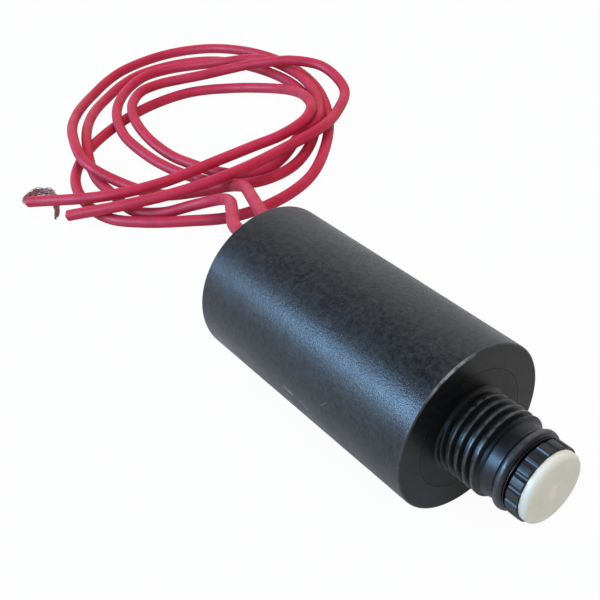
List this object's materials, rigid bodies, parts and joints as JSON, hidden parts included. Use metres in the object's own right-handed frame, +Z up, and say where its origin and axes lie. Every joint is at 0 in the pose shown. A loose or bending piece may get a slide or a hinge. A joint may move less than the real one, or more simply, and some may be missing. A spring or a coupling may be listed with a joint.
{
  "type": "solenoid valve coil",
  "caption": "Sealed cylindrical solenoid coil with a threaded neck, sealing ring, sprung plunger with a soft seal disc, and red insulated leads.",
  "frame": {"origin": "on the ground under the middle of the coil body and its neck, without the leads", "axes": "+X along the valve's axis, out of the threaded neck; +Z up, with the body lying on its side"},
  "size_m": [0.2385, 0.1069, 0.037],
  "materials": {
    "body_plastic": "satin, fine moulded grain",
    "potting": "cast, slightly glossy",
    "neck_plastic": "satin moulded",
    "ring_rubber": "smooth, lightly greased",
    "spool_plastic": "natural moulded",
    "winding_copper": "enamelled wire",
    "tape_film": "polyester film",
    "flux_steel": "plated",
    "core_steel": "turned",
    "shading_copper": "bare copper",
    "spring_steel": "drawn stainless wire",
    "carrier_plastic": "glossy moulded",
    "seal_cream": "smooth, slightly translucent",
    "pin_brass": "bright",
    "tinned_metal": "tinned copper",
    "lead_insulation": "satin extruded"
  },
  "bodies": {
    "coil": {"housing": "body_plastic", "rear_fill": "potting", "guide_tube": "neck_plastic", "neck_o_ring": "ring_rubber", "coil_spool": "spool_plastic", "coil_winding": "winding_copper", "winding_tape": "tape_film", "flux_sleeve": "flux_steel", "front_flux_washer": "flux_steel", "rear_flux_washer": "flux_steel", "pole_piece": "core_steel", "shading_ring": "shading_copper", "plunger_spring": "spring_steel", "stem_bush": "neck_plastic", "terminal_pins": "pin_brass", "splice_ferrules": "tinned_metal", "lead_tails": "lead_insulation", "lead_a": "lead_insulation", "lead_b": "lead_insulation", "lead_a_strands": "tinned_metal", "lead_b_strands": "tinned_metal"},
    "plunger": {"plunger": "core_steel", "seal_carrier": "carrier_plastic", "seal_disc": "seal_cream"}
  },
  "joints": [
    {"name": "plunger_stroke", "type": "slide", "parent": "coil", "child": "plunger", "axis": [-1, 0, 0], "range_m": [0, 0.0005], "stiffness_N_per_m": 300, "springref_m": -0.006, "deforming": ["plunger_spring"]}
  ]
}
